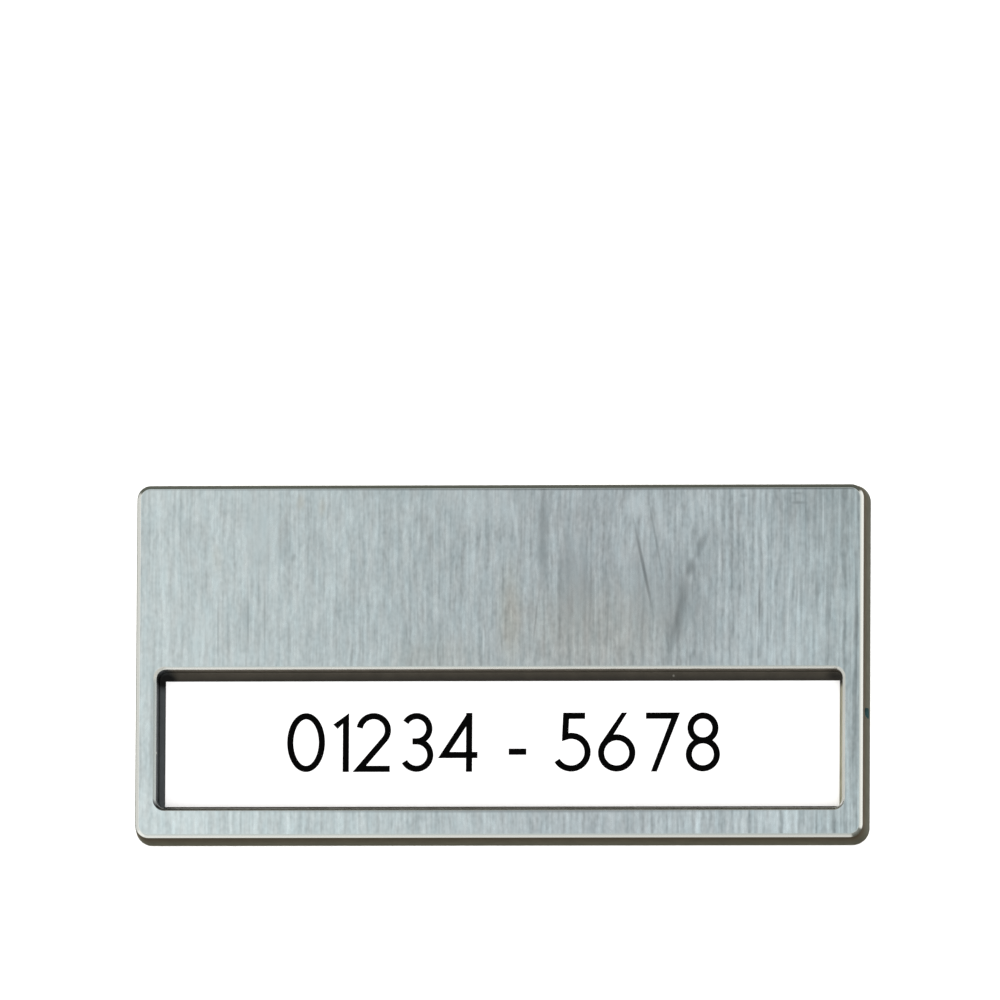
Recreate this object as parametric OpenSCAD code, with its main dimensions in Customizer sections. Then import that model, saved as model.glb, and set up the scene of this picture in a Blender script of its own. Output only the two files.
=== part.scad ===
// Pocket name badge: a die-cast metal body with a sunk window for a printed label strip.
// It lies on its back: the face points up (+Z), the top edge of the badge is at +Y.
// The origin is at the middle of the outline, in the plane of the back rim.

/* [Body] */
// Width of the front outline, at the outer edge of its bevel
face_w = 70; // [60:1:90]
// Height of the front outline
face_h = 34; // [34:1:50]
// Thickness from the back rim to the brushed face
body_t = 5; // [4.6:0.1:6]
// Corner radius of the front outline
corner_r = 1.3; // [1:0.1:3]
// Size of the 45 degree bevel round the front edge
edge_bevel = 0.38; // [0.2:0.02:0.6]
// Angle by which the side walls flare out towards the back
side_flare = 4.5; // [2:0.5:5]

/* [Window] */
// Width of the metal beside the window, from the outline to the window's wall
frame_side = 2; // [1.8:0.1:4]
// Width of the metal below the window
frame_bottom = 2.9; // [2:0.1:3.5]
// Height of the window between its walls
window_h = 13.35; // [13:0.05:13.75]
// Depth of the pocket below the face
pocket_depth = 2.6; // [1.2:0.1:2.8]
// Radius of the pocket's upright corners
window_r = 0.85; // [0.6:0.05:0.85]
// Size of the bevel round the window's edge
window_bevel = 0.28; // [0.2:0.02:0.4]

/* [Label strip] */
// Gap between the left end of the label strip and the window's wall
card_left_gap = 0.7; // [0.38:0.02:1.5]
// Gap between the right end of the label strip and the window's wall
card_right_gap = 0.38; // [0.38:0.02:1.5]
// Height of the label strip, as standard label tape
card_h = 12.1; // [9:0.1:12.1]
// Thickness of the label strip
card_t = 0.3; // [0.15:0.05:0.5]
// Gap between the label strip and the window's lower wall
card_lift = 0.28; // [0.26:0.01:0.4]

/* [Hollow back] */
// Draft of the pocket and of the hollow back, so that the casting leaves its die
draft_deg = 1.5; // [1:0.5:2]
// Width of the rim that the badge rests on
rim = 1.5; // [1.2:0.1:1.5]
// Thickness of the metal behind the upper part of the face
front_wall = 1.3; // [1:0.1:1.6]
// Thickness of the pocket's floor
floor_wall = 1.1; // [0.8:0.1:1.2]
// Thickness of the wall between the pocket and the hollow above it
divider = 1.35; // [1:0.05:1.6]

/* [Magnet bar] */
// Length of the bar
magnet_w = 45; // [30:1:54]
// Width of the bar
magnet_h = 13; // [10:0.5:13]
// Depth of the bar's outer face inside the back rim
magnet_inset = 0.25; // [0.1:0.05:0.5]
// Radius of the bar's corners
magnet_r = 1.5; // [0.5:0.1:3]

/* [Side slot] */
// Width of the slot in the right side wall
slot_w = 0.8; // [0.6:0.1:1.2]
// Length of the slot, through the thickness of the badge
slot_l = 2.6; // [1.6:0.1:3]
// Depth of the slot into the wall
slot_depth = 0.8; // [0.4:0.1:0.9]
// Height of the slot above the middle of the badge, negative below it
slot_y = -4.8; // [-10:0.1:10]

/* [Hidden] */
$fn = 96;

// Free space between two pieces that meet
gap = 0.04;
// Extra length of a cutter past the face that it opens
past = 1;

window_w = face_w - 2 * frame_side;
window_y = -face_h / 2 + frame_bottom + window_h / 2;
card_w = window_w - card_left_gap - card_right_gap;
card_x = (card_left_gap - card_right_gap) / 2;
pocket_z = body_t - pocket_depth;
divider_y = window_y + window_h / 2 + divider;
hollow_z = body_t - front_wall;
recess_z = pocket_z - floor_wall;
back_w = face_w - 2 * rim;
back_h = face_h - 2 * rim;
back_r = 0.8;
hollow_step = 0.4;
hollow_h = back_h / 2 - hollow_step - divider_y;
hollow_y = divider_y + hollow_h / 2;
magnet_t = hollow_z - gap - magnet_inset;

// How far a wall leans out over the height dz, in whole microns so that the straight
// walls and the corners between them meet exactly
function lean(dz, angle = draft_deg) = round(1000 * dz * tan(angle)) / 1000;

// One quarter turn of the wall profile round a corner of radius r. A profile row is
// [offset from the outline, height], from the lowest row to the highest.
module corner(r, profile) {
    lowest = profile[0][1];
    highest = profile[len(profile) - 1][1];
    rotate_extrude(angle = 90)
        polygon([[0, lowest], for (row = profile) [r + row[0], row[1]], [0, highest]]);
}

// The slab between two opposite walls, length long, with both walls in the profile
module slab(across, length, profile) {
    rotate([90, 0, 90])
        translate([0, 0, -length / 2])
            linear_extrude(length)
                polygon([
                    for (row = profile) [across / 2 + row[0], row[1]],
                    for (i = [len(profile) - 1 : -1 : 0]) [-across / 2 - profile[i][0], profile[i][1]]
                ]);
}

// A rounded rectangle w by h whose walls follow the profile all the way round
module profiled_block(w, h, r, profile) {
    slab(h, w - 2 * r, profile);
    rotate([0, 0, 90]) slab(w, h - 2 * r, profile);
    for (quarter = [
        [w / 2 - r, h / 2 - r, 0],
        [-w / 2 + r, h / 2 - r, 90],
        [-w / 2 + r, -h / 2 + r, 180],
        [w / 2 - r, -h / 2 + r, 270]
    ])
        translate([quarter[0], quarter[1], 0]) rotate([0, 0, quarter[2]]) corner(r, profile);
}

// Outside of the body: flared side walls and the bevel round the face
module outer_form() {
    wall_top = body_t - edge_bevel;
    profiled_block(face_w, face_h, corner_r, [
        [lean(wall_top, side_flare), 0],
        [0, wall_top],
        [-edge_bevel, body_t]
    ]);
}

// Space of the window pocket, with its bevelled edge, closed at the bottom
module pocket_space() {
    wall_top = body_t - window_bevel;
    translate([0, window_y, 0])
        profiled_block(window_w, window_h, window_r, [
            [-lean(wall_top - pocket_z), pocket_z],
            [0, wall_top],
            [window_bevel + past, body_t + past]
        ]);
}

// Space of the hollow back: shallow behind the pocket and deep behind the upper face
module back_space() {
    profiled_block(back_w, back_h, back_r, [
        [lean(past), -past],
        [-lean(recess_z), recess_z]
    ]);
    foot = recess_z / 2;
    translate([0, hollow_y, 0])
        profiled_block(back_w - 2 * hollow_step, hollow_h, back_r, [
            [0, foot],
            [-lean(hollow_z - foot), hollow_z]
        ]);
}

// Blind slot with round ends in the right side wall
module side_slot() {
    middle_z = (body_t - edge_bevel) / 2;
    half_run = (slot_l - slot_w) / 2;
    translate([face_w / 2 - slot_depth, slot_y, middle_z]) {
        for (side = [-1, 1])
            translate([0, 0, side * half_run])
                rotate([0, 90, 0]) cylinder(d = slot_w, h = slot_depth + past);
        translate([0, -slot_w / 2, -half_run])
            cube([slot_depth + past, slot_w, 2 * half_run]);
    }
}

module badge_body() {
    color("lightsteelblue") difference() {
        outer_form();
        pocket_space();
        back_space();
        side_slot();
    }
}

// White strip with square corners, on the floor of the pocket
module name_card() {
    low_y = window_y - window_h / 2 + card_lift;
    color("white")
        translate([card_x - card_w / 2, low_y, pocket_z + gap])
            cube([card_w, card_h, card_t]);
}

// Plain bar with rounded corners, in the hollow behind the upper face
module magnet_bar() {
    color("dimgray")
        translate([0, hollow_y, magnet_inset])
            profiled_block(magnet_w, magnet_h, magnet_r, [
                [0, 0],
                [0, magnet_t]
            ]);
}

badge_body();
name_card();
magnet_bar();
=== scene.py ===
import math

import bmesh
import bpy
from mathutils import Matrix, Vector


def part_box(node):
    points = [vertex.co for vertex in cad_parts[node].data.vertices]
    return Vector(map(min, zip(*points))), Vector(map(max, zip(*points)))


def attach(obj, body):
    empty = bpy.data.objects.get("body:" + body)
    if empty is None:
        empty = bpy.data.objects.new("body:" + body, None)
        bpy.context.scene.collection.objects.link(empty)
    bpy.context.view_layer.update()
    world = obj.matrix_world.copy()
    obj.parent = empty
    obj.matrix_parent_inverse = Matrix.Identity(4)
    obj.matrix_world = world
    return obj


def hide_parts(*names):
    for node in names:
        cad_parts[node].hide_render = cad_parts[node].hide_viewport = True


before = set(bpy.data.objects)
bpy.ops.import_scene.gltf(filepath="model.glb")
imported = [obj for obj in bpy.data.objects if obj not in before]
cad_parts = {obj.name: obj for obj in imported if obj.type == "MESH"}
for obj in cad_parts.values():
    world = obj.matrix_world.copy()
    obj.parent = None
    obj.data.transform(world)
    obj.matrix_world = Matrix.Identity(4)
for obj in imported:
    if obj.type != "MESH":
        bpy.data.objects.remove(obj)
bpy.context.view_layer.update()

mm = 0.001  # every size below is in millimetres
bodyLow, bodyHigh = (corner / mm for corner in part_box("badge_body"))
cardLow, cardHigh = (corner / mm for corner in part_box("name_card"))
barLow, barHigh = (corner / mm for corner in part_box("magnet_bar"))
bodySize = bodyHigh - bodyLow
print("frame loaded, the badge is", [round(side, 2) for side in bodySize], "mm")

# Camera: a long lens above the badge, a little to its right and below it
cameraView = {
    "fromRight": 4.7,  # degrees off square, towards the right edge
    "fromBelow": 5.9,  # degrees off square, towards the lower edge
    "roll": 0.33,  # degrees
    "distance": 2000,
    "pictureWidth": 95.90,  # mm across the picture, at the badge
    "badgeLeft": 0.09,  # how far the badge's middle lies left of the picture's middle
    "badgeDown": 15.44,  # and below it
    "sensor": 36,
    "clip": (0.05, 20),  # metres
}


def makeCamera(v):
    aside, below = math.tan(math.radians(v["fromRight"])), math.tan(math.radians(v["fromBelow"]))
    out = Vector((aside, -below, 1)).normalized()
    right = Vector((0, 1, 0)).cross(out).normalized()
    right.rotate(Matrix.Rotation(math.radians(v["roll"]), 3, out))
    up = out.cross(right)
    target = Vector((0, 0, bodyHigh.z)) + right * v["badgeLeft"] + up * v["badgeDown"]
    data = bpy.data.cameras.new("camera")
    data.sensor_width = v["sensor"]
    data.lens = data.sensor_width * v["distance"] / v["pictureWidth"]
    data.clip_start, data.clip_end = v["clip"]
    camera = bpy.data.objects.new("camera", data)
    turn = Matrix((right, up, out)).transposed().to_4x4()
    camera.matrix_world = Matrix.Translation((target + out * v["distance"]) * mm) @ turn
    bpy.context.collection.objects.link(camera)
    bpy.context.scene.camera = camera


makeCamera(cameraView)
print("camera placed")


# sRGB hex to the linear values that a shader wants
def colour(hexText):
    parts = [int(hexText[i : i + 2], 16) / 255 for i in (1, 3, 5)]
    return tuple(c / 12.92 if c <= 0.04045 else ((c + 0.055) / 1.055) ** 2.4 for c in parts) + (1,)


# Adds one node: a value that is a node or a socket is linked, any other is set
def addNode(tree, kind, values=None, **settings):
    node = tree.nodes.new("ShaderNode" + kind)
    for name, value in settings.items():
        setattr(node, name, value)
    for name, value in (values or {}).items():
        if isinstance(value, bpy.types.Node):
            value = next(socket for socket in value.outputs if socket.enabled)
        if isinstance(value, bpy.types.NodeSocket):
            tree.links.new(value, node.inputs[name])
        else:
            node.inputs[name].default_value = value
    return node


# A material with one Principled shader, and the point on the object in millimetres
def newMaterial(name, values):
    material = bpy.data.materials.new(name)
    material.use_nodes = True
    tree = material.node_tree
    tree.nodes.clear()
    shader = addNode(tree, "BsdfPrincipled", values)
    addNode(tree, "OutputMaterial", {"Surface": shader})
    place = addNode(tree, "TexCoord")
    point = addNode(tree, "VectorMath", {0: place.outputs["Object"], "Scale": 1 / mm}, operation="SCALE")
    return material, tree, shader, point


# The die-cast body. Its front outline and its window also place the finishes below
bodyShape = {
    "sideFlare": 4.5,  # degrees
    "frontBevel": 0.38,
    "cornerRadius": 1.3,
    "frameSide": 2,
    "frameBottom": 2.9,
    "windowHeight": 13.35,
    "windowRadius": 0.85,
    "windowBevel": 0.28,
    "pocketDepth": 2.6,
    "draft": 1.5,  # degrees
    "rim": 1.5,
    "backRadius": 0.8,
    "frontWall": 1.3,
    "floorWall": 1.1,
    "divider": 1.35,
    "hollowStep": 0.4,
    "softBevel": 0.22,  # radius on both edges of the front bevel
    "softWindow": 0.11,  # and on those of the window's bevel
    "softRim": 0.12,
    "softFoot": 0.15,
    "flatRing": 0.4,  # extra rings this far from the roundings keep the flats flat
    "ledgeRing": 0.17,
    "floorRing": 1,
    "cornerSteps": 14,
}


# Where the front outline, the window and the pocket's floor lie
def frontEdges(s):
    flare = (bodyHigh.z - s["frontBevel"]) * math.tan(math.radians(s["sideFlare"]))
    right, top = bodyHigh.x - flare, bodyHigh.y - flare
    windowBottom = s["frameBottom"] - top
    return {
        "flare": flare,
        "right": right,
        "top": top,
        "windowRight": right - s["frameSide"],
        "windowBottom": windowBottom,
        "windowTop": windowBottom + s["windowHeight"],
        "pocketFloor": bodyHigh.z - s["pocketDepth"],
    }


edges = frontEdges(bodyShape)

# Die-cast zinc with satin nickel plating, its face brushed from top to bottom on a belt:
# cool grey streaks, some as long as the face and some short, that stand out more to the right
brushing = {
    "tones": (  # from left to right
        ("#B6C0C2", 0),
        ("#A6B0B3", 0.35),
        ("#9AA2A6", 0.62),
        ("#A1ABAF", 0.88),
        ("#96A1A4", 1),
    ),
    "lowerLift": 0.145,  # how much lighter the strip below the window is
    "liftBegins": 4.1,  # mm above the window's lower edge
    "liftFull": 0.1,
    "streaks": (
        # width and length in mm, how strong at the left end, at the turn and at the right end
        (0.50, 20.0, 0.15, 0.16, 0.42),
        (0.42, 2.3, 0.12, 0.22, 0.21),
        (0.34, 0.6, 0.12, 0.15, 0.15),
        (2.40, 3.5, 0.05, 0.08, 0.11),
        (0.22, 9.0, 0.09, 0.10, 0.19),
    ),
    "turn": 0.66,  # where along the face the strengths turn
    "layerShift": (31.7, 12.3),  # takes each row of streaks from another part of the noise
    "usualGrain": 0.2,  # how light or dark the streaks usually get
    "tintDrift": (0.8, 3.0, 0.046),  # width and length in mm, how much redder or bluer
    "wander": 0.24,  # mm, how far the streaks drift sideways at most
    "wanderWaves": (8.33, 14.3),  # mm, across and down
    "strongMark": 0.28,  # a rubbed mark of this strength leaves least of the streaks
    "streaksLeft": 0.3,
    "stain": "#A59A84",
    "roughness": 0.34,
    "roughnessSpread": 0.12,
    "anisotropy": 0.5,
    "relief": 0.2,
    "reliefDepth": 0.02,
}

# Marks on the face, darker than the streaks, or lighter where the strength is below zero: rubbed marks,
# broad shades of tone, and painted shade along the edges
faceMarksAndEdgeShade = (
    # x, y, length, width in mm, lean to the left in degrees, strength
    (13.8, 9.25, 12.4, 0.50, 12.0, 0.38),
    (15.0, 11.8, 11.5, 0.36, 10.8, 0.24),
    (15.4, 14.1, 6.4, 1.20, 9, -0.18),
    (13.0, 15.1, 3.6, 2.80, 6, -0.22),
    (7.1, 15.2, 3.8, 0.55, 0, -0.13),
    (18.7, 14.6, 5.4, 2.40, 0, -0.12),
    (19.4, 11.2, 3.6, 1.20, -19, 0.26),
    (18.4, 9.0, 2.4, 1.30, -14, 0.36),
    (20.6, 11.6, 7.0, 2.60, 0, 0.10),
    (17.6, 5.6, 8.4, 1.45, -8.5, 0.24),
    (16.7, 2.4, 8.0, 0.80, -9, 0.18),
    (19.8, 6.9, 3.6, 0.50, 8, -0.12),
    (11.5, 11.3, 6.6, 2.60, 10, -0.06),
    (6.6, 7.2, 15.0, 3.00, 0, 0.15),
    (8.2, 6.6, 13.0, 1.70, 0, 0.15),
    (8.9, 6.0, 9.0, 0.90, 0, 0.17),
    (8.8, 11.0, 11.5, 0.36, 0, 0.13),
    (4.15, 12.3, 14.5, 1.70, 0, 0.25),
    (1.5, 13.0, 9.0, 0.60, 9, -0.15),
    (2.9, 8.0, 8.0, 0.60, 3, -0.10),
    (3.5, 4.0, 6.4, 0.30, -6, 0.20),
    (5.5, 8.0, 16.0, 0.26, 0, -0.10),
    (10.4, 3.4, 7.6, 0.32, -2, 0.20),
    (25.0, 5.4, 7.4, 0.36, 0, 0.42),
    (24.9, 1.3, 5.0, 0.36, 0, 0.15),
    (26.1, 3.5, 3.8, 0.36, 0, 0.18),
    (29.0, 5.8, 7.0, 0.50, 0, 0.22),
    (30.5, 6.4, 5.4, 0.48, 0, 0.24),
    (31.55, 5.6, 15.0, 0.60, 0, 0.20),
    (31.1, 13.8, 7.4, 0.30, 0, -0.34),
    (19.5, 15.4, 2.6, 0.36, 0, -0.18),
    (32.8, 9.3, 3.0, 0.26, 0, -0.18),
    (30.0, 2.5, 4.8, 0.36, 0, -0.12),
    (27.4, 7.2, 10.0, 1.60, 0, -0.13),
    (33.7, 5.0, 18.0, 0.90, 0, -0.14),
    (23.4, 15.9, 0.6, 1.10, 0, 0.20),
    (28.7, 15.2, 0.5, 2.10, 0, 0.22),
    (28.5, 16.1, 0.4, 1.60, 0, 0.18),
    (27.4, 15.7, 1.3, 0.40, 0, 0.14),
    (-20.8, 12.0, 8.0, 2.20, 0, 0.15),
    (-19.9, 10.0, 1.2, 0.80, -30, 0.16),
    (-17.2, 10.8, 4.8, 2.40, 0, 0.08),
    (-26.1, 2.4, 4.2, 1.20, 0, 0.10),
    (-24.5, 4.0, 8.0, 1.40, 0, 0.11),
    (-24.2, 3.8, 8.2, 0.34, 0, 0.22),
    (-22.6, 3.8, 8.2, 0.32, 0, 0.22),
    (-27.1, 3.4, 8.0, 0.32, 0, 0.20),
    (-24.6, 0.3, 1.8, 5.0, 0, -0.07),
    (-9.8, 14.0, 5.8, 0.50, 0, 0.15),
    (-7.5, 12.8, 8.4, 0.46, 0, 0.18),
    (-6.7, 10.8, 5.8, 0.40, 0, 0.17),
    (-11.8, 13.1, 7.8, 0.40, 0, -0.12),
    (-6.3, 12.7, 8.2, 0.32, 0, -0.12),
    (-1.5, 1.9, 4.0, 0.32, 0, -0.22),
    (-5.9, 0.9, 3.2, 0.32, 0, 0.20),
    (-8.9, 2.7, 2.4, 0.32, 0, 0.20),
    # painted shade along the window's left and lower edges, inside the right bevel and under the top one
    (-33.4, -7.4, 17.0, 0.70, 0, 0.16),
    (0.0, -14.4, 0.6, 72.0, 0, 0.34),
    (34.3, 0.0, 36.0, 0.50, 0, 0.16),
    (12.0, 16.72, 0.71, 150.0, 0, 0.8),
    # broad shades
    (27.0, -0.5, 17.0, 17.0, 0, -0.08),
    (30.5, 15.5, 11.0, 13.0, 0, 0.12),
    (-2.0, 16.0, 9.0, 12.0, 0, -0.07),
    (17.0, 5.2, 14.5, 4.6, 0, 0.19),
    (13.7, 5.8, 15.0, 3.2, 0, 0.14),
    (19.9, 5.5, 20.0, 3.4, 0, 0.15),
    (-7.6, 5.0, 26.0, 8.0, 0, 0.04),
    (-28.5, 2.2, 9.0, 3.2, 0, -0.08),
)

# Places where the plating has turned a little brown
brownStains = (
    # x, y, length, width, lean, strength
    (1.0, 4.6, 14.0, 3.4, 0, 0.24),
    (9.0, 2.5, 15.0, 24.0, 0, 0.17),
    (-6.0, 0.0, 7.0, 14.0, 0, 0.12),
    (-27.3, 9.8, 4.2, 2.2, 0, 0.10),
    (-19.2, 15.3, 2.3, 1.2, 0, 0.20),
    (-17.1, 14.9, 2.6, 1.0, 0, 0.20),
)

# Places that the belt left smooth
smoothPatches = (
    (-22.8, 12.2, 12.0, 5.0, 0, 0.6),
    (7.3, 7.2, 14.0, 4.4, 0, 0.5),
    (13.6, 7.0, 15.0, 11.0, 0, 0.35),
)


markCore = 0.15  # share of a mark's half width that has its full strength
markHeight = 1e6  # mm, so tall that a point's z doesn't count


# The sum of soft oval marks at a point of the face: each is a row of one of the tables above.
# The sum so far rides along as the point's z, so that Cycles works out one mark after the other:
# it has no room for all of them at once, and would turn the material black
def addMarks(tree, flatPoint, marks):
    carried = flatPoint
    for x, y, length, width, lean, strength in marks:
        oval = {"Location": (x, y, 0), "Rotation": (0, 0, math.radians(lean))}
        oval["Scale"] = (width / 2, length / 2, markHeight)
        away = addNode(tree, "Mapping", {"Vector": carried, **oval}, vector_type="TEXTURE")
        away = addNode(tree, "VectorMath", {0: away}, operation="LENGTH").outputs["Value"]
        fade = {"Value": away, "From Min": 1.0, "From Max": markCore, "To Max": strength}
        mark = addNode(tree, "MapRange", fade, interpolation_type="SMOOTHSTEP")
        mark = addNode(tree, "CombineXYZ", {"Z": mark})
        carried = addNode(tree, "VectorMath", {0: carried, 1: mark}, operation="ADD")
    return addNode(tree, "SeparateXYZ", {0: carried}).outputs["Z"]


def brushedFace(b, e):
    values = {"Metallic": 1.0, "Roughness": b["roughness"], "Anisotropic": b["anisotropy"]}
    material, tree, shader, point = newMaterial("brushedNickel", values)
    flatPoint = addNode(tree, "VectorMath", {0: point, 1: (1, 1, 0)}, operation="MULTIPLY")
    place = addNode(tree, "SeparateXYZ", {0: flatPoint})
    across = {"Value": place.outputs["X"], "From Min": bodyLow.x, "From Max": bodyHigh.x}
    across = addNode(tree, "MapRange", across)
    tones = addNode(tree, "ValToRGB", {"Fac": across})
    stops = tones.color_ramp.elements
    for hexText, at in b["tones"][1:-1]:
        stops.new(at)
    for stop, (hexText, at) in zip(stops, b["tones"]):
        stop.position = at
        stop.color = colour(hexText)

    # the streaks drift a little sideways on their way down
    waveWidth, waveLength = b["wanderWaves"]
    drift = {0: flatPoint, 1: (1 / waveWidth, 1 / waveLength, 0)}
    drift = addNode(tree, "VectorMath", drift, operation="MULTIPLY")
    drift = addNode(tree, "TexNoise", {"Vector": drift, "Scale": 1.0, "Detail": 1.0}, noise_dimensions="2D")
    drift = addNode(tree, "MapRange", {"Value": drift, "To Min": -b["wander"], "To Max": b["wander"]})
    drift = addNode(tree, "CombineXYZ", {"X": drift})
    bent = addNode(tree, "VectorMath", {0: flatPoint, 1: drift}, operation="ADD")
    grain = None
    for number, (width, length, left, turn, right) in enumerate(b["streaks"]):
        shiftX, shiftY = (step * number for step in b["layerShift"])
        layer = {0: bent, 1: (1 / width, 1 / length, 0), 2: (shiftX, shiftY, 0)}
        layer = addNode(tree, "VectorMath", layer, operation="MULTIPLY_ADD")
        layer = {"Vector": layer, "Scale": 1.0, "Detail": 1.0}
        layer = addNode(tree, "TexNoise", layer, noise_dimensions="2D")
        layer = addNode(tree, "Math", {0: layer, 1: 2.0, 2: -1.0}, operation="MULTIPLY_ADD")
        strength = {"Value": across, "From Max": b["turn"], "To Min": left, "To Max": turn}
        strength = addNode(tree, "MapRange", strength)
        more = {"Value": across, "From Min": b["turn"], "To Max": right - turn}
        more = addNode(tree, "MapRange", more)
        strength = addNode(tree, "Math", {0: strength, 1: more}, operation="ADD")
        layer = addNode(tree, "Math", {0: layer, 1: strength}, operation="MULTIPLY")
        grain = addNode(tree, "Math", {0: grain, 1: layer}, operation="ADD") if grain else layer

    # less of them is left on the smooth patches, and least under the marks over them, rubbed marks and
    # painted edge shade alike
    smooth = addMarks(tree, flatPoint, smoothPatches)
    contrast = addNode(tree, "Math", {0: 1.0, 1: smooth}, operation="SUBTRACT")
    marks = addMarks(tree, flatPoint, faceMarksAndEdgeShade)
    rubAndShade = addNode(tree, "Math", {0: marks}, operation="ABSOLUTE")
    calmer = {"Value": rubAndShade, "From Max": b["strongMark"], "To Min": 1.0, "To Max": b["streaksLeft"]}
    calmer = addNode(tree, "MapRange", calmer)
    contrast = addNode(tree, "Math", {0: contrast, 1: calmer}, operation="MULTIPLY")
    light = addNode(tree, "Math", {0: grain, 1: contrast, 2: 1.0}, operation="MULTIPLY_ADD")
    light = addNode(tree, "Math", {0: light, 1: marks}, operation="SUBTRACT")
    lifted = {"Value": place.outputs["Y"], "To Min": 1.0, "To Max": 1 + b["lowerLift"]}
    lifted["From Min"] = e["windowBottom"] + b["liftBegins"]
    lifted["From Max"] = e["windowBottom"] + b["liftFull"]
    lifted = addNode(tree, "MapRange", lifted)
    light = addNode(tree, "Math", {0: light, 1: lifted}, operation="MULTIPLY")

    stained = {"Factor": addMarks(tree, flatPoint, brownStains), "A": tones, "B": colour(b["stain"])}
    stained = addNode(tree, "Mix", stained, data_type="RGBA")
    tone = addNode(tree, "VectorMath", {0: stained, "Scale": light}, operation="SCALE")
    width, length, amount = b["tintDrift"]
    tint = addNode(tree, "VectorMath", {0: bent, 1: (1 / width, 1 / length, 0)}, operation="MULTIPLY")
    tint = addNode(tree, "TexNoise", {"Vector": tint, "Scale": 1.0, "Detail": 2.0}, noise_dimensions="2D")
    bluer, redder = (1 - amount, 1, 1 + amount / 3, 1), (1 + amount, 1, 1 - amount / 3, 1)
    tint = addNode(tree, "Mix", {"Factor": tint, "A": bluer, "B": redder}, data_type="RGBA")
    tone = addNode(tree, "VectorMath", {0: tone.outputs["Vector"], 1: tint}, operation="MULTIPLY")
    tree.links.new(tone.outputs["Vector"], shader.inputs["Base Color"])

    # dark streaks are a little rougher than light ones
    spread = {"Value": grain, "From Min": -b["usualGrain"], "From Max": b["usualGrain"]}
    spread["To Min"] = b["roughness"] + b["roughnessSpread"]
    spread["To Max"] = b["roughness"] - b["roughnessSpread"]
    rough = addNode(tree, "MapRange", spread)
    tree.links.new(rough.outputs[0], shader.inputs["Roughness"])
    bump = {"Height": grain, "Strength": b["relief"], "Distance": b["reliefDepth"] * mm}
    bump = addNode(tree, "Bump", bump)
    tree.links.new(bump.outputs[0], shader.inputs["Normal"])
    along = addNode(tree, "Tangent", direction_type="UV_MAP", uv_map="flat")
    tree.links.new(along.outputs[0], shader.inputs["Tangent"])
    return material


# The bevels were cut after plating and shine: a fine even highlight, hardly any grain.
# Painted light makes them lighter at the left than at the right, and painted shade makes their upper edge
# as grey as the face
bevelFinishAndLight = {
    # painted light: the tone runs from lighter at the left to darker at the right
    "left": "#E9EAE6",
    "right": "#D3D3CE",
    # painted shade on the upper edge of the bevels
    "edgeShadeTone": "#CBD4D7",
    "edgeShadeDepth": 0.2,  # mm below the face where the painted edge shade ends
    "edgeShadeFull": 0.02,  # and where it is full
    "edgeShadeLeft": 0.2,  # how much of it the left bevel has
    "leftBevel": (0.4, 0.8),  # mm from the left edge, where that bevel ends
    "roughness": 0.16,
    "roughnessSpread": 0.05,
    "speckSize": 0.5,
}

# Round the window the cut is painted darker along its left end and along the lower edge, and most of all
# in the lower left corner: painted shade. It is worn matt in the upper left corner, along
# the right end and on the rim of the lower edge
windowShadeAndWear = {
    # the first three tones are painted shade, the fourth is a matt worn tone
    "leftShadeTone": "#959B9A",
    "lowerShadeTone": "#9A9B95",
    "cornerShadeTone": "#46474A",
    "matt": "#A2A39E",
    # where each begins and is full, in mm inwards from the window's edge or corner
    "leftShadeReach": (0.6, -0.2),
    "lowerShadeReach": (0.4, 0.0),
    "cornerShadeReach": (0.7, 0.3),
    "upperLeftMatt": (1.05, 0.55),
    "rightMatt": (0.6, 0.2),
    "aboveLowerShade": (0.5, 0.9),
    "lowerMatt": 0.35,  # how matt the rim of the lower edge is
    "edgeShadeDepth": 0.14,
}


# What both bevels share: painted light across them and painted shade on their upper edge. The one round the
# window adds its painted shade and matt wear to the tone
def startBevel(name, b, e, edgeShadeDepth):
    material, tree, shader, point = newMaterial(name, {"Metallic": 1.0, "Roughness": b["roughness"]})
    place = addNode(tree, "SeparateXYZ", {0: point})
    across = {"Value": place.outputs["X"], "From Min": bodyLow.x, "From Max": bodyHigh.x}
    across = addNode(tree, "MapRange", across)
    # painted light: lighter at the left than at the right
    tone = {"Factor": across, "A": colour(b["left"]), "B": colour(b["right"])}
    tone = addNode(tree, "Mix", tone, data_type="RGBA")
    # painted shade on the upper edge, less of it on the left bevel
    rubAndShade = {"Value": place.outputs["Z"]}
    rubAndShade["From Min"] = bodyHigh.z - edgeShadeDepth
    rubAndShade["From Max"] = bodyHigh.z - b["edgeShadeFull"]
    starts, ends = b["leftBevel"]
    inward = {"Value": place.outputs["X"], "From Min": starts - e["right"], "From Max": ends - e["right"]}
    inward["To Min"] = b["edgeShadeLeft"]
    rubAndShade = {0: addNode(tree, "MapRange", rubAndShade), 1: addNode(tree, "MapRange", inward)}
    rubAndShade = addNode(tree, "Math", rubAndShade, operation="MULTIPLY")
    rubAndShade = {"Factor": rubAndShade, "A": (1, 1, 1, 1), "B": colour(b["edgeShadeTone"])}
    rubAndShade = addNode(tree, "Mix", rubAndShade, data_type="RGBA")
    tone = addNode(tree, "VectorMath", {0: tone, 1: rubAndShade}, operation="MULTIPLY")
    tree.links.new(tone.outputs["Vector"], shader.inputs["Base Color"])
    specks = addNode(tree, "TexNoise", {"Vector": point, "Scale": 1 / b["speckSize"], "Detail": 3.0})
    rough = {"Value": specks}
    rough["To Min"] = b["roughness"] - b["roughnessSpread"]
    rough["To Max"] = b["roughness"] + b["roughnessSpread"]
    rough = addNode(tree, "MapRange", rough)
    tree.links.new(rough.outputs[0], shader.inputs["Roughness"])
    return material, tree, shader, place, tone


def cutBevel(b, e):
    return startBevel("cutBevel", b, e, b["edgeShadeDepth"])[0]


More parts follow.
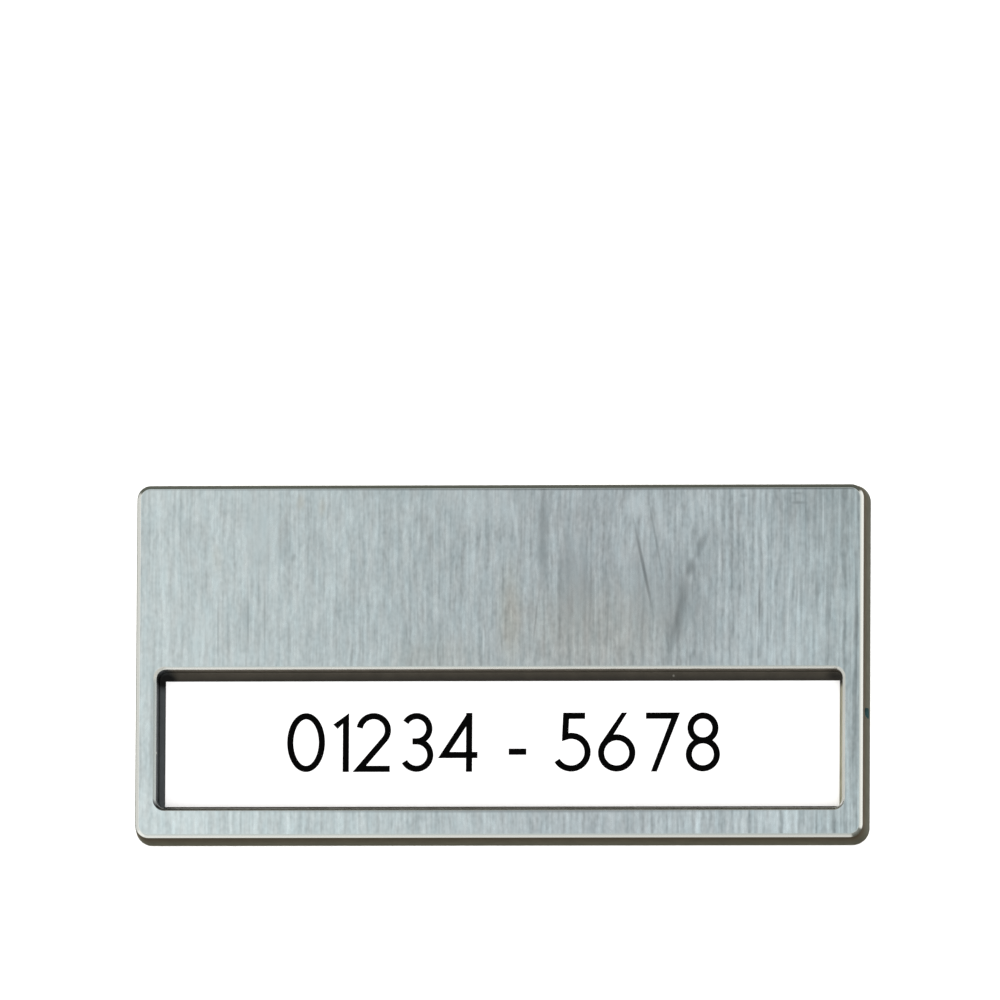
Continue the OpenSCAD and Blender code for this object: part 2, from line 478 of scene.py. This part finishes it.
def shadedWornBevel(b, w, e):
    material, tree, shader, place, tone = startBevel("shadedWornBevel", b, e, w["edgeShadeDepth"])
    x, y = place.outputs["X"], place.outputs["Y"]
    right, bottom, top = e["windowRight"], e["windowBottom"], e["windowTop"]
    # painted shade: darker along the left end
    starts, full = w["leftShadeReach"]
    leftEnd = addNode(tree, "MapRange", {"Value": x, "From Min": starts - right, "From Max": full - right})
    tone = addNode(tree, "Mix", {"Factor": leftEnd, "A": tone, "B": colour(w["leftShadeTone"])}, data_type="RGBA")
    # painted shade: darker along the lower edge
    starts, full = w["lowerShadeReach"]
    lowerEdge = {"Value": y, "From Min": bottom + starts, "From Max": bottom + full}
    lowerEdge = addNode(tree, "MapRange", lowerEdge)
    tone = addNode(tree, "Mix", {"Factor": lowerEdge, "A": tone, "B": colour(w["lowerShadeTone"])}, data_type="RGBA")
    # painted shade: darkest in the lower left corner
    # x plus y is lowest in the lower left corner, y less x is highest in the upper left one
    starts, full = w["cornerShadeReach"]
    lowerLeftShade = {"Value": addNode(tree, "Math", {0: x, 1: y}, operation="ADD")}
    lowerLeftShade["From Min"] = bottom - right + starts
    lowerLeftShade["From Max"] = bottom - right + full
    lowerLeftShade = addNode(tree, "MapRange", lowerLeftShade)
    darker = {"Factor": lowerLeftShade, "A": tone, "B": colour(w["cornerShadeTone"])}
    tone = addNode(tree, "Mix", darker, data_type="RGBA")
    starts, full = w["upperLeftMatt"]
    upperLeft = {"Value": addNode(tree, "Math", {0: y, 1: x}, operation="SUBTRACT")}
    upperLeft["From Min"] = top + right - starts
    upperLeft["From Max"] = top + right - full
    upperLeft = addNode(tree, "MapRange", upperLeft)
    starts, full = w["rightMatt"]
    rightEnd = addNode(tree, "MapRange", {"Value": x, "From Min": right - starts, "From Max": right - full})
    starts, full = w["aboveLowerShade"]
    aboveLowerShade = {"Value": y, "From Min": bottom + starts, "From Max": bottom + full}
    aboveLowerShade = addNode(tree, "MapRange", aboveLowerShade)
    rightEnd = addNode(tree, "Math", {0: rightEnd, 1: aboveLowerShade}, operation="MULTIPLY")
    matt = addNode(tree, "Math", {0: upperLeft, 1: rightEnd}, operation="MAXIMUM")
    tone = addNode(tree, "Mix", {"Factor": matt, "A": tone, "B": colour(w["matt"])}, data_type="RGBA")
    tree.links.new(next(s for s in tone.outputs if s.enabled), shader.inputs["Base Color"])

    # where it is matt it has lost its metal shine
    rim = {"Value": place.outputs["Z"], "To Max": w["lowerMatt"]}
    rim["From Min"] = bodyHigh.z - w["edgeShadeDepth"]
    rim["From Max"] = bodyHigh.z - b["edgeShadeFull"]
    rim = addNode(tree, "MapRange", rim)
    rim = addNode(tree, "Math", {0: rim, 1: lowerEdge}, operation="MULTIPLY")
    matt = addNode(tree, "Math", {0: matt, 1: rim}, operation="MAXIMUM")
    metal = addNode(tree, "Math", {0: 1.0, 1: matt}, operation="SUBTRACT")
    tree.links.new(metal.outputs[0], shader.inputs["Metallic"])
    return material


# Side walls as they left the die, never polished: a dull warm grey, browner under the bevel.
# The lower wall is painted darker than the right one, above all at its top: painted shade
sideFinish = {
    "foot": "#CBC8BA",
    "top": "#B8A691",
    "footEnds": 0.3,  # shares of the badge's thickness
    "topBegins": 0.85,
    "lowerWallShade": "#C4B8A9",
    "lowerFoot": 0.7,  # how much of that shade reaches the wall's foot
    "lowerReach": 1.0,  # mm above the lower edge where the shade begins
    "mottleSize": 1.2,
    "mottle": 0.25,
    "grainSize": 0.25,
    "relief": 0.3,
    "reliefDepth": 0.02,
    "roughness": 0.42,
}


def dullSide(s, e):
    values = {"Metallic": 1.0, "Roughness": s["roughness"]}
    material, tree, shader, point = newMaterial("dullSide", values)
    place = addNode(tree, "SeparateXYZ", {0: point})
    height = {"Value": place.outputs["Z"]}
    height["From Min"] = s["footEnds"] * bodySize.z
    height["From Max"] = s["topBegins"] * bodySize.z
    height = addNode(tree, "MapRange", height)
    tone = {"Factor": height, "A": colour(s["foot"]), "B": colour(s["top"])}
    tone = addNode(tree, "Mix", tone, data_type="RGBA")
    # painted shade on the lower wall, less of it at the wall's foot
    lowerWall = {"Value": place.outputs["Y"], "From Min": s["lowerReach"] - e["top"], "From Max": -e["top"]}
    lowerWall = addNode(tree, "MapRange", lowerWall)
    upwards = addNode(tree, "MapRange", {"Value": height, "To Min": s["lowerFoot"], "To Max": 1.0})
    lowerWall = addNode(tree, "Math", {0: lowerWall, 1: upwards}, operation="MULTIPLY")
    shade = {"Factor": lowerWall, "A": (1, 1, 1, 1), "B": colour(s["lowerWallShade"])}
    shade = addNode(tree, "Mix", shade, data_type="RGBA")
    tone = addNode(tree, "VectorMath", {0: tone, 1: shade}, operation="MULTIPLY")
    mottle = addNode(tree, "TexNoise", {"Vector": point, "Scale": 1 / s["mottleSize"], "Detail": 3.0})
    mottle = {"Value": mottle, "To Min": 1 - s["mottle"], "To Max": 1 + s["mottle"]}
    mottle = addNode(tree, "MapRange", mottle)
    tone = addNode(tree, "VectorMath", {0: tone, "Scale": mottle}, operation="SCALE")
    tree.links.new(tone.outputs["Vector"], shader.inputs["Base Color"])
    grain = addNode(tree, "TexNoise", {"Vector": point, "Scale": 1 / s["grainSize"], "Detail": 2.0})
    bump = {"Height": grain, "Strength": s["relief"], "Distance": s["reliefDepth"] * mm}
    bump = addNode(tree, "Bump", bump)
    tree.links.new(bump.outputs[0], shader.inputs["Normal"])
    return material


# Inside of the pocket, unpolished and dark: brown, bluer at the left end and paler at the right.
# Painted shade makes it darkest on its left wall, at its floor, along the strip and in its upper corners;
# two bright nicks carry painted glints
pocketFinish = {
    "brown": "#645E53",
    "blue": "#62676A",
    "pale": "#E6E3CC",
    # pale bare metal of the nicks, painted as their glints too
    "nickGlint": "#A7A69E",
    # where each begins and is full, in mm inwards from the window's edge
    "leftBlue": (1.5, 0.5),
    "rightPale": (0.7, 0.3),
    "leftWall": (0.25, 0.05),
    "besideStrip": 0.6,  # mm below the strip's upper edge where the pale end is full
    "leftWallShade": 0.5,
    "floorShade": 0.5,
    "floorReach": (0.05, 0.3),  # mm above the floor, where its shade ends
    "mottleSize": 1.5,
    "mottle": 0.3,
    "nickDepth": 0.7,  # mm below the face, how far the nick on the wall runs down
    "nickFade": 0.3,
    "metallic": 0.6,
    "roughness": 0.5,
}
# Marks in the pocket, in the same columns as those on the face: painted shade along the strip's upper edge
# and in the upper corners, then the two nicks with their painted glints
pocketShade = (
    (-32.3, -1.5, 2.8, 2.8, 0, 0.9),
    (32.1, -1.1, 1.4, 2.4, 0, 0.5),
    (0.0, -1.75, 1.9, 200.0, 0, 0.6),
)
wallNickGlint = ((-33.0, -8.75, 0.34, 0.20, 0, 1.0),)
floorNickGlint = ((16.6, -1.2, 0.36, 0.30, 0, 0.4),)


def darkPocket(p, e):
    values = {"Metallic": p["metallic"], "Roughness": p["roughness"]}
    material, tree, shader, point = newMaterial("darkPocket", values)
    flatPoint = addNode(tree, "VectorMath", {0: point, 1: (1, 1, 0)}, operation="MULTIPLY")
    place = addNode(tree, "SeparateXYZ", {0: point})
    x, y, z = (place.outputs[axis] for axis in "XYZ")
    right = e["windowRight"]
    starts, full = p["leftBlue"]
    leftEnd = addNode(tree, "MapRange", {"Value": x, "From Min": starts - right, "From Max": full - right})
    tone = {"Factor": leftEnd, "A": colour(p["brown"]), "B": colour(p["blue"])}
    tone = addNode(tree, "Mix", tone, data_type="RGBA")
    starts, full = p["rightPale"]
    rightEnd = addNode(tree, "MapRange", {"Value": x, "From Min": right - starts, "From Max": right - full})
    besideStrip = {"Value": y, "From Min": cardHigh.y, "From Max": cardHigh.y - p["besideStrip"]}
    besideStrip = addNode(tree, "MapRange", besideStrip)
    rightEnd = addNode(tree, "Math", {0: rightEnd, 1: besideStrip}, operation="MULTIPLY")
    tone = addNode(tree, "Mix", {"Factor": rightEnd, "A": tone, "B": colour(p["pale"])}, data_type="RGBA")

    # painted shade: darker at the floor and on the left wall
    starts, ends = p["floorReach"]
    shade = {"Value": z, "From Min": e["pocketFloor"] + starts, "From Max": e["pocketFloor"] + ends}
    shade = addNode(tree, "MapRange", {**shade, "To Min": p["floorShade"]})
    starts, full = p["leftWall"]
    leftWall = {"Value": x, "From Min": starts - right, "From Max": full - right}
    leftWall = addNode(tree, "MapRange", {**leftWall, "To Min": 1.0, "To Max": p["leftWallShade"]})
    shade = addNode(tree, "Math", {0: shade, 1: leftWall}, operation="MULTIPLY")
    tone = addNode(tree, "VectorMath", {0: tone, "Scale": shade}, operation="SCALE")
    mottle = addNode(tree, "TexNoise", {"Vector": point, "Scale": 1 / p["mottleSize"], "Detail": 3.0})
    mottle = {"Value": mottle, "To Min": 1 - p["mottle"], "To Max": 1 + p["mottle"]}
    mottle = addNode(tree, "MapRange", mottle)
    tone = addNode(tree, "VectorMath", {0: tone.outputs["Vector"], "Scale": mottle}, operation="SCALE")
    # painted shade along the strip and in the upper corners
    unshaded = addNode(tree, "Math", {0: 1.0, 1: addMarks(tree, flatPoint, pocketShade)}, operation="SUBTRACT")
    tone = addNode(tree, "VectorMath", {0: tone.outputs["Vector"], "Scale": unshaded}, operation="SCALE")

    # two nicks: pale spots of bare metal that also stand in for their glints, painted highlights
    nickEnd = bodyHigh.z - p["nickDepth"]
    upperWall = {"Value": z, "From Min": nickEnd - p["nickFade"], "From Max": nickEnd}
    upperWall = addNode(tree, "MapRange", upperWall)
    nickGlints = {0: addMarks(tree, flatPoint, wallNickGlint), 1: upperWall, 2: addMarks(tree, flatPoint, floorNickGlint)}
    nickGlints = addNode(tree, "Math", nickGlints, operation="MULTIPLY_ADD")
    nickGlints = {"Factor": nickGlints, "A": tone.outputs["Vector"], "B": colour(p["nickGlint"])}
    nickGlints = addNode(tree, "Mix", nickGlints, data_type="RGBA")
    tree.links.new(next(s for s in nickGlints.outputs if s.enabled), shader.inputs["Base Color"])
    return material


# Inside of the side slot: a trace of blue-green corrosion on the bare zinc
def slotInside():
    return newMaterial("corrodedZinc", {"Base Color": colour("#153C3E"), "Roughness": 0.7})[0]


# Back of the casting: plain zinc with the fine grain of the die
castFinish = {"tone": "#9B9C98", "roughness": 0.55, "grainSize": 0.3, "relief": 0.3, "reliefDepth": 0.03}


def castZinc(c):
    values = {"Base Color": colour(c["tone"]), "Metallic": 1.0, "Roughness": c["roughness"]}
    material, tree, shader, point = newMaterial("castZinc", values)
    grain = addNode(tree, "TexNoise", {"Vector": point, "Scale": 1 / c["grainSize"], "Detail": 3.0})
    bump = {"Height": grain, "Strength": c["relief"], "Distance": c["reliefDepth"] * mm}
    bump = addNode(tree, "Bump", bump)
    tree.links.new(bump.outputs[0], shader.inputs["Normal"])
    return material


# Label tape: white polyester film, matt and even
def labelFilm():
    values = {"Base Color": colour("#DFDEDF"), "Roughness": 0.5, "Specular IOR Level": 0.3}
    return newMaterial("labelFilm", values)[0]


# Thermal print on the tape: dense and matt black
def labelInk():
    values = {"Base Color": colour("#020202"), "Roughness": 0.7, "Specular IOR Level": 0.02}
    return newMaterial("labelInk", values)[0]


# Nickel-plated magnet steel, ground flat before plating
def platedMagnet():
    values = {"Base Color": colour("#C9C6BE"), "Metallic": 1.0, "Roughness": 0.25}
    return newMaterial("platedMagnet", values)[0]


smallestRadius = 0.05


# Shapes are stacks of rings. A ring is a rounded rectangle, grown outwards by an offset
def ring(outline, offset, z, steps):
    halfWidth, halfHeight = outline["width"] / 2 + offset, outline["height"] / 2 + offset
    radius = max(outline["radius"] + offset, smallestRadius)
    points = []
    for quarter, (sideX, sideY) in enumerate(((1, 1), (-1, 1), (-1, -1), (1, -1))):
        cornerX = outline["x"] + sideX * (halfWidth - radius)
        cornerY = outline["y"] + sideY * (halfHeight - radius)
        for step in range(steps + 1):
            angle = math.radians(90 * (quarter + step / steps))
            points.append((cornerX + radius * math.cos(angle), cornerY + radius * math.sin(angle), z))
    return points


# Rows down a wall: corners of the profile, each rounded by its own radius.
# A corner is (outline, offset, z, rounding, finish of the wall that follows)
def profileRows(corners, arcSteps=4):
    rows = []
    for i, (outline, offset, z, rounding, finish) in enumerate(corners):
        here = Vector((offset, z))
        if not rounding:
            rows.append((outline, offset, z, finish))
            continue
        before = (Vector(corners[i - 1][1:3]) - here).normalized()
        after = (Vector(corners[i + 1][1:3]) - here).normalized()
        half = before.angle(after) / 2
        middle = here + (before + after).normalized() * rounding / math.sin(half)
        start = (here + before * rounding / math.tan(half) - middle).normalized()
        end = (here + after * rounding / math.tan(half) - middle).normalized()
        for step in range(arcSteps + 1):
            point = middle + start.slerp(end, step / arcSteps) * rounding
            rows.append((outline, point.x, point.y, corners[i - 1][4] if step < arcSteps / 2 else finish))
    return rows


def meshFromRings(name, rings, finishes, materials):
    bm = bmesh.new()
    loops = [[bm.verts.new(Vector(point) * mm) for point in points] for points in rings]
    count = len(loops[0])
    for low, high, finish in zip(loops, loops[1:], finishes):
        for i in range(count):
            face = bm.faces.new((low[i], low[(i + 1) % count], high[(i + 1) % count], high[i]))
            face.material_index = finish
    bm.faces.new(loops[0]).material_index = finishes[0]
    bm.faces.new(loops[-1]).material_index = finishes[-1]
    bmesh.ops.recalc_face_normals(bm, faces=bm.faces)
    flat = bm.loops.layers.uv.new("flat")
    for face in bm.faces:
        face.smooth = True
        for loop in face.loops:
            loop[flat].uv = loop.vert.co.xy / (bodySize.x * mm)
    mesh = bpy.data.meshes.new(name)
    bm.to_mesh(mesh)
    bm.free()
    for material in materials:
        mesh.materials.append(material)
    piece = bpy.data.objects.new(name, mesh)
    bpy.context.collection.objects.link(piece)
    return piece


# Applies a piece's modifiers, so that its own mesh has the final shape
def applyModifiers(piece):
    bpy.context.view_layer.update()
    shaped = bpy.data.meshes.new_from_object(piece.evaluated_get(bpy.context.evaluated_depsgraph_get()))
    piece.modifiers.clear()
    piece.data = shaped


def placePiece(piece, node):
    piece.modifiers.new("flat faces stay flat", "WEIGHTED_NORMAL").keep_sharp = True
    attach(piece, "root")
    if node:
        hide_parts(node)
    print(piece.name, "made,", len(piece.data.polygons), "faces")


# A stadium, cut into the right wall at half its height
sideSlot = {
    "width": 0.8,
    "length": 2.6,
    "depth": 0.8,
    "y": -4.8,
    "lip": 0.06,
    "mouth": 1,  # the cutter widens this far outside the wall, at 45 degrees
    "softEnd": 0.1,
    "endRing": 0.15,
    "endFlat": 0.001,  # keeps the points of the two round ends apart
    "endSteps": 8,
}


def makeBody(s, e, slot):
    top = bodyHigh.z
    wallTop = top - s["frontBevel"]
    windowEdge = top - s["windowBevel"]
    floor = e["pocketFloor"]
    recessZ = floor - s["floorWall"]
    hollowZ = top - s["frontWall"]

    windowY = (e["windowBottom"] + e["windowTop"]) / 2
    backWidth, backHeight = 2 * (e["right"] - s["rim"]), 2 * (e["top"] - s["rim"])
    hollowWidth = backWidth - 2 * s["hollowStep"]
    hollowBottom = e["windowTop"] + s["divider"]
    hollowHeight = backHeight / 2 - s["hollowStep"] - hollowBottom
    hollowY = hollowBottom + hollowHeight / 2

    face = {"width": 2 * e["right"], "height": 2 * e["top"], "radius": s["cornerRadius"], "x": 0, "y": 0}
    window = {"width": 2 * e["windowRight"], "height": s["windowHeight"], "x": 0, "y": windowY}
    window["radius"] = s["windowRadius"]
    back = {"width": backWidth, "height": backHeight, "radius": s["backRadius"], "x": 0, "y": 0}
    hollow = {"width": hollowWidth, "height": hollowHeight, "radius": s["backRadius"], "x": 0, "y": hollowY}

    # each wall of the die leans inwards by the draft on its way down
    draft = math.tan(math.radians(s["draft"]))
    foot = -draft * (windowEdge - floor)
    recessFoot = -draft * recessZ
    hollowFoot = -draft * (hollowZ - recessZ)

    brushed, bevel, windowBevel, side, pocket, cast, inSlot = range(7)
    corners = [
        (window, foot - s["floorRing"], floor, 0, pocket),
        (window, foot, floor, s["softFoot"], pocket),
        (window, 0, windowEdge, s["softWindow"], windowBevel),
        (window, s["windowBevel"], top, s["softWindow"], brushed),
        (window, s["windowBevel"] + s["flatRing"], top, 0, brushed),
        (face, -s["frontBevel"] - s["flatRing"], top, 0, brushed),
        (face, -s["frontBevel"], top, s["softBevel"], bevel),
        (face, 0, wallTop, s["softBevel"], side),
        (face, e["flare"], 0, s["softRim"], cast),
        (face, e["flare"] - s["flatRing"], 0, 0, cast),
        (back, s["flatRing"], 0, 0, cast),
        (back, 0, 0, s["softRim"], cast),
        (back, recessFoot, recessZ, s["softFoot"], cast),
        (back, recessFoot - s["ledgeRing"], recessZ, 0, cast),
        (hollow, s["ledgeRing"], recessZ, 0, cast),
        (hollow, 0, recessZ, s["softRim"], cast),
        (hollow, hollowFoot, hollowZ, s["softFoot"], cast),
        (hollow, hollowFoot - s["floorRing"], hollowZ, 0, cast),
    ]
    rows = profileRows(corners)
    rings = [ring(outline, offset, z, s["cornerSteps"]) for outline, offset, z, finish in rows]
    materials = [
        brushedFace(brushing, e),
        cutBevel(bevelFinishAndLight, e),
        shadedWornBevel(bevelFinishAndLight, windowShadeAndWear, e),
        dullSide(sideFinish, e),
        darkPocket(pocketFinish, e),
        castZinc(castFinish),
        slotInside(),
    ]
    body = meshFromRings("badge_body_finished", rings, [row[3] for row in rows], materials)

    # the slot is cut from the right, with a small lip where it meets the wall
    stadium = {"width": slot["length"], "height": slot["width"], "x": 0, "y": 0}
    stadium["radius"] = slot["width"] / 2 - slot["endFlat"]
    wall = e["flare"] / 2 - slot["lip"]
    reach = [
        (stadium, -slot["endRing"], -slot["depth"], 0, inSlot),
        (stadium, 0, -slot["depth"], slot["softEnd"], inSlot),
        (stadium, 0, wall, 0, inSlot),
        (stadium, slot["mouth"], wall + slot["mouth"], 0, inSlot),
    ]
    rows = profileRows(reach)
    rings = [ring(outline, offset, z, slot["endSteps"]) for outline, offset, z, finish in rows]
    cutter = meshFromRings("slotCutter", rings, [row[3] for row in rows], materials)
    turn = Matrix.Rotation(math.radians(90), 4, "Y")
    middle = Vector((e["right"], slot["y"], wallTop / 2)) * mm
    cutter.data.transform(Matrix.Translation(middle) @ turn)
    cut = body.modifiers.new("slot", "BOOLEAN")
    cut.operation = "DIFFERENCE"
    cut.solver = "EXACT"
    cut.object = cutter
    applyModifiers(body)
    bpy.data.objects.remove(cutter)
    placePiece(body, "badge_body")


makeBody(bodyShape, edges, sideSlot)


# A flat piece with rounded corners and soft edges, as large as the node it stands for
def makeSlab(name, node, low, high, material, s):
    size, middle = high - low, (high + low) / 2
    outline = {"width": size.x, "height": size.y, "radius": s["radius"], "x": middle.x, "y": middle.y}
    corners = [
        (outline, -s["flatRing"], low.z, 0, 0),
        (outline, 0, low.z, s["softEdge"], 0),
        (outline, 0, high.z, s["softEdge"], 0),
        (outline, -s["flatRing"], high.z, 0, 0),
    ]
    rings = [ring(*row[:3], s["cornerSteps"]) for row in profileRows(corners, s["edgeSteps"])]
    slab = meshFromRings(name, rings, [0] * len(rings), [material])
    placePiece(slab, node)


barShape = {"radius": 1.5, "softEdge": 0.3, "flatRing": 1.2, "cornerSteps": 10, "edgeSteps": 4}
makeSlab("magnet_bar_finished", "magnet_bar", barLow, barHigh, platedMagnet(), barShape)

cardShape = {"radius": 0.06, "softEdge": 0.02, "flatRing": 0.05, "cornerSteps": 3, "edgeSteps": 2}
makeSlab("name_card_finished", "name_card", cardLow, cardHigh, labelFilm(), cardShape)

# The print: plain numbers of even strokes, drawn by their middle lines.
# One unit is the height between the middle lines of the top and bottom strokes
printShape = {
    "text": "01234-5678",
    "height": 5.68,
    "stroke": 0.6,
    "left": -20.56,
    "right": 21.12,
    "baseline": -10.46,
    "dashWidth": 1.7,
    "dashHeight": 0.34,  # of the numbers' height
    "dashSpace": 2.0,  # more room on each side of the dash
    "film": 0.012,
    "sunk": 0.01,  # how deep in the strip the film starts
    "longestMitre": 4,  # times half the stroke
}


def arc(x, y, radiusX, radiusY, start, end, steps=28):
    turn = [math.radians(start + (end - start) * step / steps) for step in range(steps + 1)]
    return [(x + radiusX * math.cos(a), y + radiusY * math.sin(a)) for a in turn]


# Each numeral: its width, then its strokes. A stroke that ends where it began is a closed loop
def numeralStrokes():
    return {
        "0": (0.60, [arc(0.30, 0.5, 0.30, 0.5, 90, 450, 64)]),
        "1": (0.20, [[(0, 0.80), (0.20, 1), (0.20, -0.1)]]),
        "2": (0.58, [arc(0.27, 0.73, 0.27, 0.27, 170, -45) + [(0, 0), (0.58, 0)]]),
        "3": (
            0.51,
            [
                arc(0.25, 0.76, 0.24, 0.24, 150, -90) + [(0.17, 0.52)],
                [(0.17, 0.52)] + arc(0.25, 0.26, 0.26, 0.26, 90, -152),
            ],
        ),
        "4": (0.64, [[(0.64, 0.26), (0, 0.26), (0.48, 1)], [(0.48, 1.1), (0.48, -0.1)]]),
        "5": (0.57, [[(0.52, 1), (0.16, 1)] + arc(0.26, 0.31, 0.31, 0.31, 112, -150)]),
        "6": (0.59, [arc(0.295, 0.295, 0.295, 0.295, 90, 450, 64), [(0.04, 0.443), (0.44, 1.136)]]),
        "7": (0.56, [[(0, 1), (0.56, 1), (0.155, -0.1)]]),
        "8": (
            0.53,
            [arc(0.265, 0.765, 0.235, 0.235, 90, 450, 56), arc(0.265, 0.265, 0.265, 0.265, 90, 450, 56)],
        ),
    }


# A flat ribbon along a stroke, with mitred corners, cut level at the top and the baseline
def addRibbon(bm, path, half, longestMitre, lowZ, highZ, baseline, capLine):
    closed = (Vector(path[0]) - Vector(path[-1])).length < half / 1000
    points = [Vector(p) for p in (path[:-1] if closed else path)]
    count = len(points)
    rails = []
    for i, here in enumerate(points):
        before = points[i - 1] if closed or i else None
        after = points[(i + 1) % count] if closed or i < count - 1 else None
        inward = (here - before).normalized() if before else (after - here).normalized()
        outward = (after - here).normalized() if after else inward
        normal = Vector((-inward.y - outward.y, inward.x + outward.x)).normalized()
        reach = half / max(normal.dot(Vector((-inward.y, inward.x))), 1 / longestMitre)
        sides = []
        for sign in (1, -1):
            edge = here + normal * reach * sign
            edge.y = min(max(edge.y, baseline), capLine)
            sides.append([bm.verts.new((edge.x * mm, edge.y * mm, z * mm)) for z in (lowZ, highZ)])
        rails.append((sides[0][0], sides[0][1], sides[1][1], sides[1][0]))
    pairs = zip(rails, rails[1:] + rails[:1] if closed else rails[1:])
    for first, second in pairs:
        for i in range(4):
            bm.faces.new((first[i], first[(i + 1) % 4], second[(i + 1) % 4], second[i]))
    if not closed:
        bm.faces.new(rails[0])
        bm.faces.new(rails[-1])


def makePrint(s):
    unit = s["height"] - s["stroke"]
    numerals = numeralStrokes()
    widths = []
    for sign in s["text"]:
        widths.append(s["dashWidth"] if sign == "-" else numerals[sign][0] * unit + s["stroke"])
    spare = s["right"] - s["left"] - sum(widths) - 2 * s["dashSpace"]
    gap = spare / (len(widths) - 1)
    layers = [bmesh.new(), bmesh.new()]
    lowZ, highZ = cardHigh.z - s["sunk"], cardHigh.z + s["film"]
    capLine = s["baseline"] + s["height"]
    inset = s["stroke"] / 2
    x = s["left"]
    for sign, width in zip(s["text"], widths):
        if sign == "-":
            x += s["dashSpace"]
            y = s["baseline"] + s["dashHeight"] * s["height"]
            strokes = [[(x, y), (x + width, y)]]
        else:
            strokes = [
                [(x + inset + u * unit, s["baseline"] + inset + v * unit) for u, v in stroke]
                for stroke in numerals[sign][1]
            ]
        for layer, stroke in zip(layers, strokes):
            addRibbon(layer, stroke, inset, s["longestMitre"], lowZ, highZ, s["baseline"], capLine)
        x += width + gap + (s["dashSpace"] if sign == "-" else 0)
    pieces = []
    ink = labelInk()
    for number, layer in enumerate(layers):
        bmesh.ops.recalc_face_normals(layer, faces=layer.faces)
        mesh = bpy.data.meshes.new("label_print")
        layer.to_mesh(mesh)
        layer.free()
        mesh.materials.append(ink)
        pieces.append(bpy.data.objects.new("label_print", mesh))
        bpy.context.collection.objects.link(pieces[-1])
    join = pieces[0].modifiers.new("crossing strokes", "BOOLEAN")
    join.operation = "UNION"
    join.solver = "EXACT"
    join.object = pieces[1]
    applyModifiers(pieces[0])
    bpy.data.objects.remove(pieces[1])
    placePiece(pieces[0], None)


makePrint(printShape)

# Studio: a pale floor, a soft dome, and long soft boxes low round the badge that light its bevels
studio = {
    "floor": "#FFFFFF",
    "floorSize": 6,  # metres
    "dome": 1.0,
    "domeRise": (0.05, 0.45),  # sines of the heights where the dome begins and is full
    "low": "#676961",  # what lies round the set, below the lamps
    "lowStrength": 1.0,
    "overhead": 2.1,  # soft lamp straight above, for the white strip and the floor
    "overheadSpread": 50,  # degrees
    "boxEdge": (1.3, 0.8),  # times its half width, where a soft box ends and where it is full
    "boxFoot": (-0.3, -0.1),  # sines of the heights below which the boxes fade
}
softBoxes = [
    # towards, half width in degrees, strength
    ((0.98, 0.21, 0.1), 28, 1.2),
    ((-0.37, -0.93, 0.1), 30, 0.80),
    ((-0.75, -0.7, 0.05), 22, 0.95),
    ((-1, 0, -0.05), 30, 0.71),
]


def makeStudio(s, boxes):
    floor = bpy.data.objects.new("floor", bpy.data.meshes.new("floor"))
    bm = bmesh.new()
    bmesh.ops.create_grid(bm, x_segments=1, y_segments=1, size=s["floorSize"] / 2)
    bm.to_mesh(floor.data)
    bm.free()
    bpy.context.collection.objects.link(floor)
    paleFloor = newMaterial("paleFloor", {"Base Color": colour(s["floor"]), "Roughness": 0.9})[0]
    floor.data.materials.append(paleFloor)
    floor.visible_glossy = False

    lamp = bpy.data.objects.new("overhead", bpy.data.lights.new("overhead", "SUN"))
    lamp.data.energy = s["overhead"]
    lamp.data.angle = math.radians(s["overheadSpread"])
    lamp.location.z = 1
    lamp.visible_glossy = False
    bpy.context.collection.objects.link(lamp)

    world = bpy.data.worlds.new("studio")
    bpy.context.scene.world = world
    world.use_nodes = True
    tree = world.node_tree
    tree.nodes.clear()
    towards = addNode(tree, "TexCoord").outputs["Generated"]
    height = addNode(tree, "SeparateXYZ", {0: towards})
    starts, full = s["domeRise"]
    dome = {"Value": height.outputs["Z"], "From Min": starts, "From Max": full, "To Max": s["dome"]}
    total = addNode(tree, "MapRange", dome, interpolation_type="SMOOTHSTEP")
    starts, full = s["boxFoot"]
    aboveFoot = {"Value": height.outputs["Z"], "From Min": starts, "From Max": full}
    aboveFoot = addNode(tree, "MapRange", aboveFoot)
    ends, full = s["boxEdge"]
    for direction, halfWidth, strength in boxes:
        facing = {0: towards, 1: Vector(direction).normalized()}
        facing = addNode(tree, "VectorMath", facing, operation="DOT_PRODUCT")
        box = {"Value": facing.outputs["Value"], "To Max": strength}
        box["From Min"] = math.cos(math.radians(halfWidth * ends))
        box["From Max"] = math.cos(math.radians(halfWidth * full))
        box = addNode(tree, "MapRange", box, interpolation_type="SMOOTHSTEP")
        box = addNode(tree, "Math", {0: box, 1: aboveFoot}, operation="MULTIPLY")
        total = addNode(tree, "Math", {0: total, 1: box}, operation="MAXIMUM")
    glow = addNode(tree, "Background", {"Color": (1, 1, 1, 1), "Strength": total})
    dim = addNode(tree, "Background", {"Color": colour(s["low"]), "Strength": s["lowStrength"]})
    lit = addNode(tree, "AddShader", {0: glow, 1: dim})
    plain = addNode(tree, "Background", {"Color": (1, 1, 1, 1), "Strength": 1.0})
    seen = addNode(tree, "LightPath").outputs["Is Camera Ray"]
    sky = addNode(tree, "MixShader", {0: seen, 1: lit, 2: plain})
    addNode(tree, "OutputWorld", {"Surface": sky})
    bpy.context.scene.view_settings.view_transform = "Standard"


makeStudio(studio, softBoxes)
print("studio lit")
